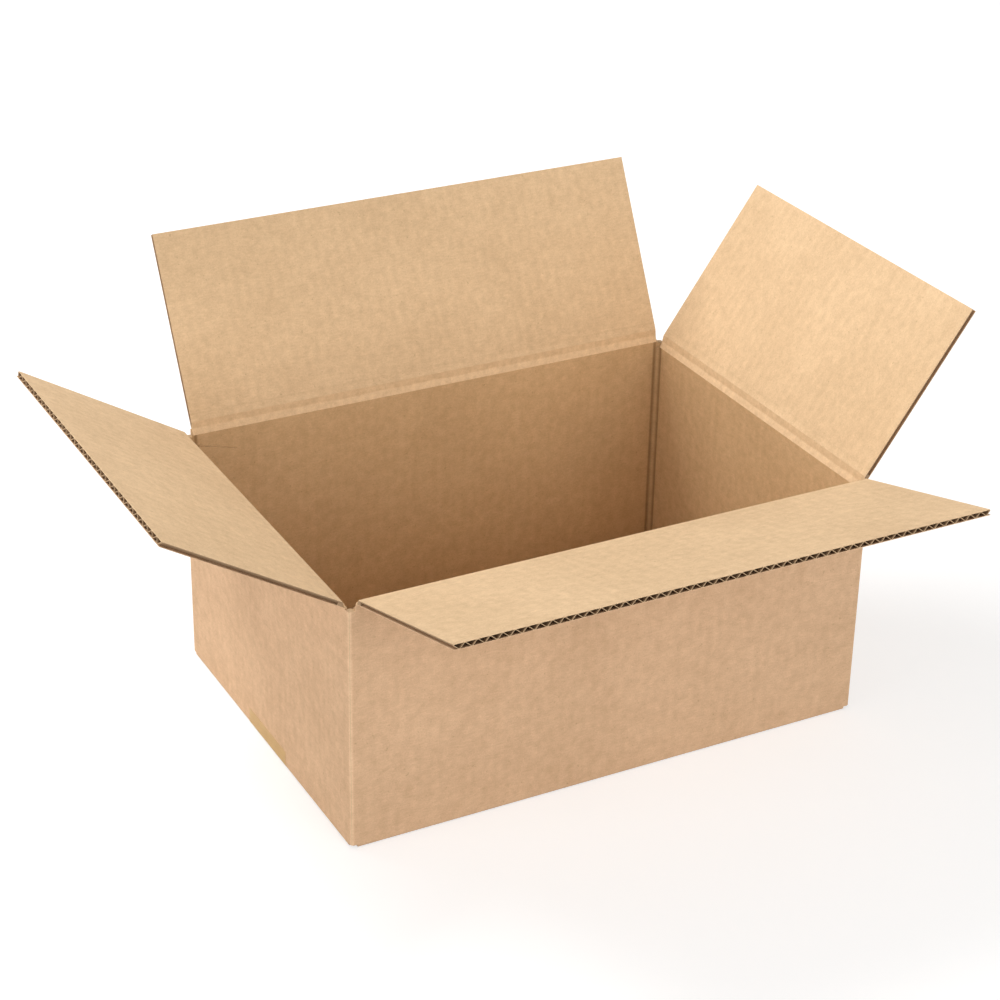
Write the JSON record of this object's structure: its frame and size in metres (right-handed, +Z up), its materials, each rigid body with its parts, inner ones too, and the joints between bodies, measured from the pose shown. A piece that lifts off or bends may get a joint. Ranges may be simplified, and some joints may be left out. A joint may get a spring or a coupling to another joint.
{
  "type": "open cardboard box",
  "caption": "Open corrugated cardboard carton with folding top flaps and a taped folded bottom.",
  "frame": {"origin": "on the ground under the middle of the carton, at the underside of the bottom tape", "axes": "+Z up out of the open top, +X along the long walls, -Y out of the front long wall"},
  "size_m": [0.4683, 0.3771, 0.2439],
  "materials": {
    "board": "matt kraft liner",
    "tape": "thin clear film"
  },
  "bodies": {
    "carton": {"carton_body": "board", "bottom_tape": "tape"},
    "front_flap": {"top_flap_front": "board"},
    "back_flap": {"top_flap_back": "board"},
    "left_flap": {"top_flap_left": "board"},
    "right_flap": {"top_flap_right": "board"}
  },
  "joints": [
    {"name": "front_flap_fold", "type": "hinge", "parent": "carton", "child": "front_flap", "pos_m": [0, -0.1106, 0.14465], "axis": [1, 0, 0], "range_deg": [-163.9, 104.1]},
    {"name": "back_flap_fold", "type": "hinge", "parent": "carton", "child": "back_flap", "pos_m": [0, 0.1106, 0.14465], "axis": [-1, 0, 0], "range_deg": [-117.2, 150.8]},
    {"name": "left_flap_fold", "type": "hinge", "parent": "carton", "child": "left_flap", "pos_m": [-0.1556, 0, 0.14135], "axis": [0, -1, 0], "range_deg": [-148.9, 119.1]},
    {"name": "right_flap_fold", "type": "hinge", "parent": "carton", "child": "right_flap", "pos_m": [0.1556, 0, 0.14135], "axis": [0, 1, 0], "range_deg": [-125, 143]}
  ]
}
